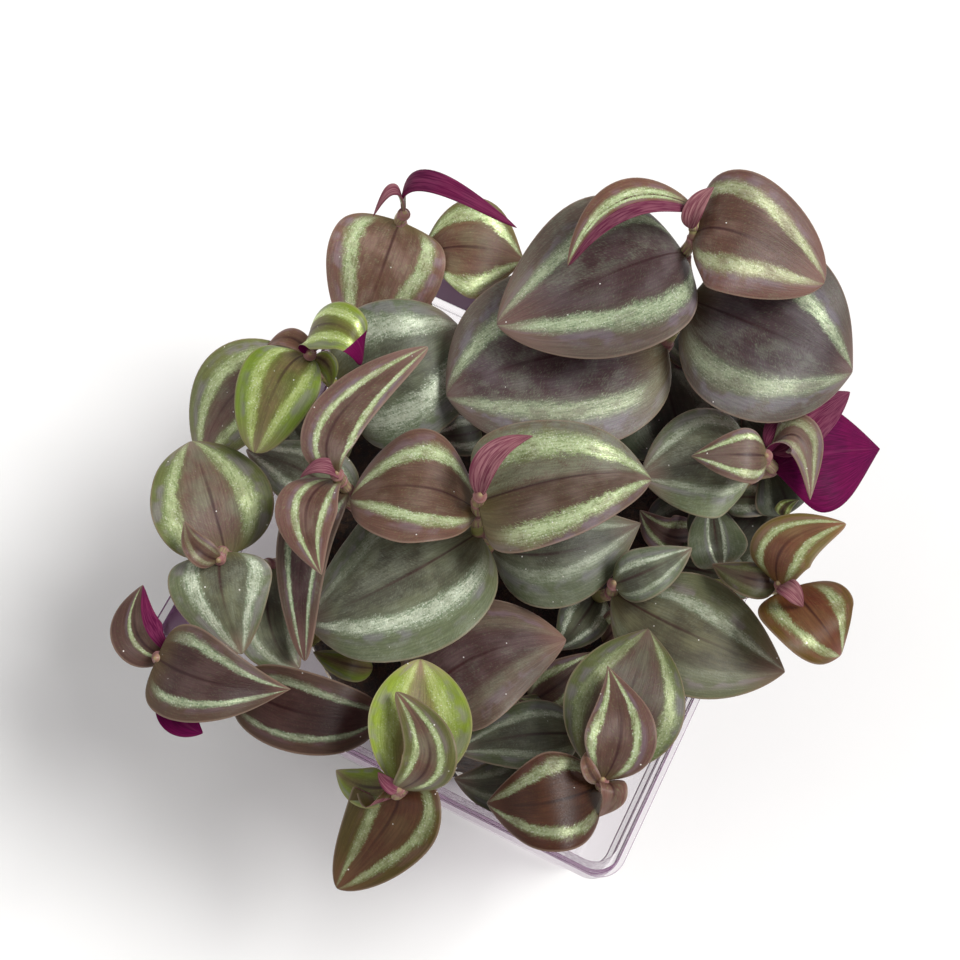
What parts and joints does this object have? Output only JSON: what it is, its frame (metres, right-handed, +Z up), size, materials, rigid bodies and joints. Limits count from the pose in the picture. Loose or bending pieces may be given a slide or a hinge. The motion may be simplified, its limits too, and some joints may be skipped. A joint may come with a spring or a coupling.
{
  "type": "potted tradescantia",
  "caption": "Trailing tradescantia with striped oval leaves on leafy shoots, rooted in a peat ball that stands in a clear square pot.",
  "frame": {"origin": "middle of the pot's underside, on the surface the pot stands on", "axes": "+Z up; X and Y along the pot's sides"},
  "size_m": [0.13, 0.1413, 0.1144],
  "materials": {
    "clear_pot": "gloss",
    "peat": "matte",
    "stem": "satin",
    "leaf_plum": "satin",
    "leaf_brown": "satin",
    "leaf_olive": "satin",
    "leaf_lime": "satin",
    "leaf_shade": "satin",
    "leaf_magenta": "satin"
  },
  "bodies": {
    "root": {"pot": "clear_pot", "root_ball": "peat", "stem_01": "stem", "leaf_01_a": "leaf_plum", "leaf_01_b": "leaf_plum", "leaf_01_c": "leaf_plum", "leaf_01_d": "leaf_brown", "leaf_01_e": "leaf_brown", "stem_02": "stem", "leaf_02_a": "leaf_olive", "leaf_02_b": "leaf_brown", "leaf_02_c": "leaf_magenta", "stem_03": "stem", "leaf_03_a": "leaf_shade", "leaf_03_b": "leaf_olive", "leaf_03_c": "leaf_lime", "leaf_03_d": "leaf_lime", "stem_04": "stem", "leaf_04_a": "leaf_shade", "leaf_04_b": "leaf_olive", "leaf_04_c": "leaf_shade", "leaf_04_d": "leaf_brown", "stem_05": "stem", "leaf_05_a": "leaf_plum", "leaf_05_b": "leaf_brown", "leaf_05_c": "leaf_plum", "stem_06": "stem", "leaf_06_a": "leaf_shade", "leaf_06_b": "leaf_plum", "leaf_06_c": "leaf_brown", "leaf_06_d": "leaf_brown", "stem_07": "stem", "leaf_07_a": "leaf_shade", "leaf_07_b": "leaf_shade", "leaf_07_c": "leaf_brown", "leaf_07_d": "leaf_brown", "leaf_07_e": "leaf_magenta", "stem_08": "stem", "leaf_08_a": "leaf_shade", "leaf_08_b": "leaf_shade", "leaf_08_c": "leaf_shade", "leaf_08_d": "leaf_magenta", "leaf_08_e": "leaf_brown", "leaf_08_f": "leaf_brown", "stem_09": "stem", "leaf_09_a": "leaf_olive", "leaf_09_b": "leaf_olive", "stem_10": "stem", "leaf_10_a": "leaf_shade", "leaf_10_b": "leaf_olive", "leaf_10_c": "leaf_brown", "leaf_10_d": "leaf_brown", "stem_11": "stem", "leaf_11_a": "leaf_plum", "leaf_11_b": "leaf_olive", "leaf_11_c": "leaf_lime", "leaf_11_d": "leaf_olive", "stem_12": "stem", "leaf_12_a": "leaf_shade", "leaf_12_b": "leaf_shade"}
  },
  "joints": []
}
